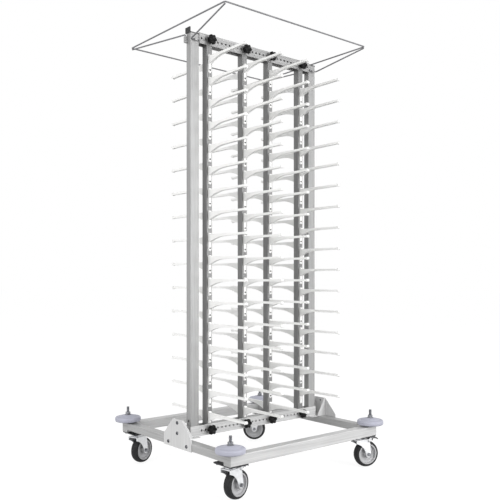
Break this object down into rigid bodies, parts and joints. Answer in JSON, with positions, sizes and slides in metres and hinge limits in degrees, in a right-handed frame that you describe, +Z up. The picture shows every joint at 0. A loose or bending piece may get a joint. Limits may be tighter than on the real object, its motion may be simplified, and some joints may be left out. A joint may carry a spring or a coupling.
{
  "type": "plate rack cart",
  "caption": "Wheeled plate rack: tube base with corner bumpers and casters, drilled rails, clamped posts with rows of moulded arms, and a wire cover hoop.",
  "frame": {"origin": "centre of the overall box at floor level, under the wheels", "axes": "+X to the cart's right along the rails, +Y from the knob side to the back, +Z up"},
  "size_m": [0.86, 0.834, 1.794],
  "materials": {
    "rack_steel": "satin brushed",
    "bright_steel": "bright",
    "zinc_steel": "zinc plated, satin",
    "arm_plastic": "moulded, fine satin",
    "knob_plastic": "glossy",
    "cap_plastic": "satin",
    "bumper_rubber": "smooth satin",
    "wheel_tyre": "matt",
    "hub_plastic": "moulded satin",
    "hoop_wire": "dark satin",
    "pedal_steel": "black satin"
  },
  "bodies": {
    "cart_frame": {"front_base_tube": "rack_steel", "rear_base_tube": "rack_steel", "left_base_tube": "rack_steel", "right_base_tube": "rack_steel", "base_end_caps": "rack_steel", "left_foot_bracket": "rack_steel", "right_foot_bracket": "rack_steel", "bracket_screws": "bright_steel", "left_upright": "rack_steel", "right_upright": "rack_steel", "upright_caps": "cap_plastic", "top_rail": "rack_steel", "bottom_rail": "rack_steel", "post_1": "rack_steel", "post_2": "rack_steel", "post_3": "rack_steel", "post_4": "rack_steel", "front_arms_1": "arm_plastic", "front_arms_2": "arm_plastic", "front_arms_3": "arm_plastic", "front_arms_4": "arm_plastic", "rear_arms_1": "arm_plastic", "rear_arms_2": "arm_plastic", "rear_arms_3": "arm_plastic", "rear_arms_4": "arm_plastic", "caster_plates": "zinc_steel", "bumper_studs": "bright_steel", "bumper_nuts": "bright_steel"},
    "front_left_swivel": {"front_left_caster_fork": "zinc_steel", "front_left_caster_axle": "bright_steel"},
    "front_left_wheel": {"front_left_caster_hub": "hub_plastic", "front_left_caster_tyre": "wheel_tyre"},
    "front_left_brake": {"front_left_brake_pedal": "pedal_steel"},
    "front_right_swivel": {"front_right_caster_fork": "zinc_steel", "front_right_caster_axle": "bright_steel"},
    "front_right_wheel": {"front_right_caster_hub": "hub_plastic", "front_right_caster_tyre": "wheel_tyre"},
    "front_right_brake": {"front_right_brake_pedal": "pedal_steel"},
    "rear_left_swivel": {"rear_left_caster_fork": "zinc_steel", "rear_left_caster_axle": "bright_steel"},
    "rear_left_wheel": {"rear_left_caster_hub": "hub_plastic", "rear_left_caster_tyre": "wheel_tyre"},
    "rear_right_swivel": {"rear_right_caster_fork": "zinc_steel", "rear_right_caster_axle": "bright_steel"},
    "rear_right_wheel": {"rear_right_caster_hub": "hub_plastic", "rear_right_caster_tyre": "wheel_tyre"},
    "front_left_bumper_disc": {"front_left_bumper": "bumper_rubber"},
    "front_right_bumper_disc": {"front_right_bumper": "bumper_rubber"},
    "rear_left_bumper_disc": {"rear_left_bumper": "bumper_rubber"},
    "rear_right_bumper_disc": {"rear_right_bumper": "bumper_rubber"},
    "top_clamp_1": {"top_knob_1": "knob_plastic"},
    "top_clamp_2": {"top_knob_2": "knob_plastic"},
    "top_clamp_3": {"top_knob_3": "knob_plastic"},
    "top_clamp_4": {"top_knob_4": "knob_plastic"},
    "bottom_clamp_1": {"bottom_knob_1": "knob_plastic"},
    "bottom_clamp_2": {"bottom_knob_2": "knob_plastic"},
    "bottom_clamp_3": {"bottom_knob_3": "knob_plastic"},
    "bottom_clamp_4": {"bottom_knob_4": "knob_plastic"},
    "hoop": {"cover_hoop": "hoop_wire", "hoop_stays": "hoop_wire"}
  },
  "joints": [
    {"name": "front_left_swivel_turn", "type": "hinge", "parent": "cart_frame", "child": "front_left_swivel", "pos_m": [-0.3475, -0.3295, 0.121], "axis": [0, 0, 1], "continuous": true},
    {"name": "front_left_wheel_roll", "type": "hinge", "parent": "front_left_swivel", "child": "front_left_wheel", "pos_m": [-0.31993, -0.32464, 0.055], "axis": [-0.1736, 0.9848, 0], "continuous": true},
    {"name": "front_left_brake_press", "type": "hinge", "parent": "front_left_swivel", "child": "front_left_brake", "pos_m": [-0.31008, -0.3229, 0.12], "axis": [-0.1736, 0.9848, 0], "range_deg": [0, 14]},
    {"name": "front_right_swivel_turn", "type": "hinge", "parent": "cart_frame", "child": "front_right_swivel", "pos_m": [0.3475, -0.3295, 0.121], "axis": [0, 0, 1], "continuous": true},
    {"name": "front_right_wheel_roll", "type": "hinge", "parent": "front_right_swivel", "child": "front_right_wheel", "pos_m": [0.37428, -0.33769, 0.055], "axis": [0.2924, 0.9563, 0], "continuous": true},
    {"name": "front_right_brake_press", "type": "hinge", "parent": "front_right_swivel", "child": "front_right_brake", "pos_m": [0.38384, -0.34061, 0.12], "axis": [0.2924, 0.9563, 0], "range_deg": [0, 14]},
    {"name": "rear_left_swivel_turn", "type": "hinge", "parent": "cart_frame", "child": "rear_left_swivel", "pos_m": [-0.3475, 0.3295, 0.121], "axis": [0, 0, 1], "continuous": true},
    {"name": "rear_left_wheel_roll", "type": "hinge", "parent": "rear_left_swivel", "child": "rear_left_wheel", "pos_m": [-0.32087, 0.33815, 0.055], "axis": [-0.309, 0.9511, 0], "continuous": true},
    {"name": "rear_right_swivel_turn", "type": "hinge", "parent": "cart_frame", "child": "rear_right_swivel", "pos_m": [0.3475, 0.3295, 0.121], "axis": [0, 0, 1], "continuous": true},
    {"name": "rear_right_wheel_roll", "type": "hinge", "parent": "rear_right_swivel", "child": "rear_right_wheel", "pos_m": [0.32605, 0.3475, 0.055], "axis": [-0.6428, -0.766, 0], "continuous": true},
    {"name": "front_left_bumper_turn", "type": "hinge", "parent": "cart_frame", "child": "front_left_bumper_disc", "pos_m": [-0.375, -0.362, 0.192], "axis": [0, 0, 1], "continuous": true},
    {"name": "front_right_bumper_turn", "type": "hinge", "parent": "cart_frame", "child": "front_right_bumper_disc", "pos_m": [0.375, -0.362, 0.192], "axis": [0, 0, 1], "continuous": true},
    {"name": "rear_left_bumper_turn", "type": "hinge", "parent": "cart_frame", "child": "rear_left_bumper_disc", "pos_m": [-0.375, 0.362, 0.192], "axis": [0, 0, 1], "continuous": true},
    {"name": "rear_right_bumper_turn", "type": "hinge", "parent": "cart_frame", "child": "rear_right_bumper_disc", "pos_m": [0.375, 0.362, 0.192], "axis": [0, 0, 1], "continuous": true},
    {"name": "top_clamp_1_turn", "type": "hinge", "parent": "cart_frame", "child": "top_clamp_1", "pos_m": [-0.25, -0.0678, 1.748], "axis": [0, -1, 0], "continuous": true},
    {"name": "top_clamp_2_turn", "type": "hinge", "parent": "cart_frame", "child": "top_clamp_2", "pos_m": [-0.07, -0.0678, 1.748], "axis": [0, -1, 0], "continuous": true},
    {"name": "top_clamp_3_turn", "type": "hinge", "parent": "cart_frame", "child": "top_clamp_3", "pos_m": [0.07, -0.0678, 1.748], "axis": [0, -1, 0], "continuous": true},
    {"name": "top_clamp_4_turn", "type": "hinge", "parent": "cart_frame", "child": "top_clamp_4", "pos_m": [0.25, -0.0678, 1.748], "axis": [0, -1, 0], "continuous": true},
    {"name": "bottom_clamp_1_turn", "type": "hinge", "parent": "cart_frame", "child": "bottom_clamp_1", "pos_m": [-0.25, -0.0678, 0.201], "axis": [0, -1, 0], "continuous": true},
    {"name": "bottom_clamp_2_turn", "type": "hinge", "parent": "cart_frame", "child": "bottom_clamp_2", "pos_m": [-0.07, -0.0678, 0.201], "axis": [0, -1, 0], "continuous": true},
    {"name": "bottom_clamp_3_turn", "type": "hinge", "parent": "cart_frame", "child": "bottom_clamp_3", "pos_m": [0.07, -0.0678, 0.201], "axis": [0, -1, 0], "continuous": true},
    {"name": "bottom_clamp_4_turn", "type": "hinge", "parent": "cart_frame", "child": "bottom_clamp_4", "pos_m": [0.25, -0.0678, 0.201], "axis": [0, -1, 0], "continuous": true},
    {"name": "hoop_lift", "type": "slide", "parent": "cart_frame", "child": "hoop", "axis": [0, 0, 1], "range_m": [0, 0.04]}
  ]
}
